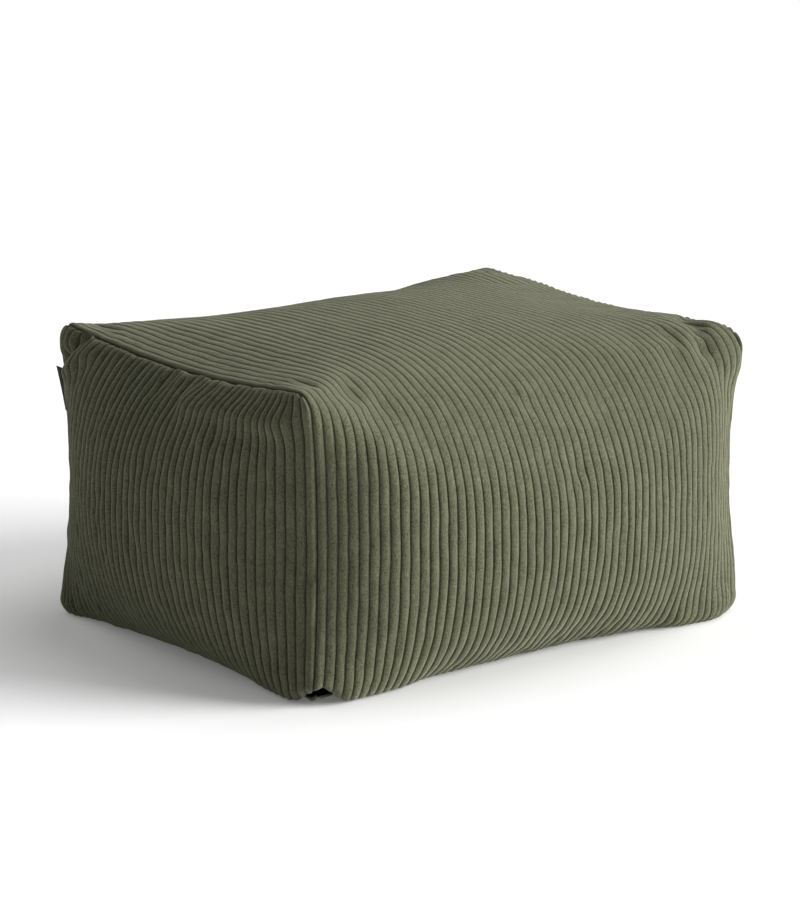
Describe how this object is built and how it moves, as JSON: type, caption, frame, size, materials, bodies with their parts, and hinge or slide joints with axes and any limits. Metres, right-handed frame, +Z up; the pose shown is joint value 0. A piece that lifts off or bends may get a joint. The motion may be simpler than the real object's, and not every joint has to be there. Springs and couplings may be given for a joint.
{
  "type": "bean bag footstool",
  "caption": "Soft rectangular bean bag footstool in wide-ribbed corduroy, with crowned sides, drawn-in seams and a small woven label.",
  "frame": {"origin": "on the floor, at the middle of the footstool's outline seen from above", "axes": "+X along the long side, towards the end without the label; -Y out of the long front face; +Z up"},
  "size_m": [0.6342, 0.536, 0.3064],
  "materials": {
    "corduroy": "wide-ribbed cotton-look corduroy with a soft velvety pile, olive green",
    "label_weave": "plain black woven label tape, matt"
  },
  "bodies": {
    "root": {"bag_body": "corduroy", "end_panel_left": "corduroy", "end_panel_right": "corduroy", "base_panel": "corduroy", "label": "label_weave"}
  },
  "joints": []
}
